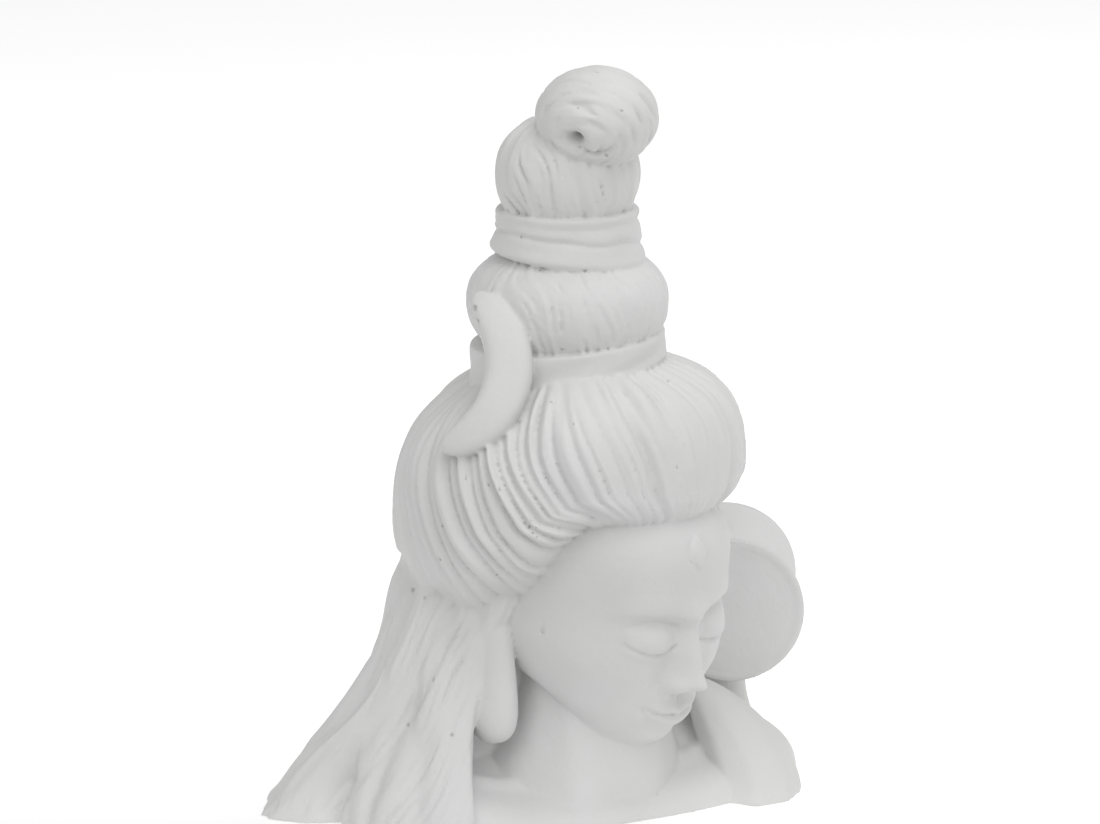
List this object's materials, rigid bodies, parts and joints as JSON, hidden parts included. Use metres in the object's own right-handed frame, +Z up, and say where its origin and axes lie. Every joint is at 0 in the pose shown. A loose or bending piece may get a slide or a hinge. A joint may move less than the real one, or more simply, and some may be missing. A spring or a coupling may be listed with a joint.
{
  "type": "deity figure bust",
  "caption": "Cast white bust of a deity with a tall banded topknot, crescent moon, long hair and a small hourglass drum, cut flat below.",
  "frame": {"origin": "on the flat underside, on the vertical axis of the hair", "axes": "+Z up through the topknot, -Y the way the chest faces, +X the figure's left; the face is turned 20 degrees to its left"},
  "size_m": [0.1093, 0.0625, 0.1307],
  "materials": {
    "cast_resin": "matt white cast resin and marble powder, faintly satin, with small casting pinholes"
  },
  "bodies": {
    "root": {"shiva_bust": "cast_resin"}
  },
  "joints": []
}
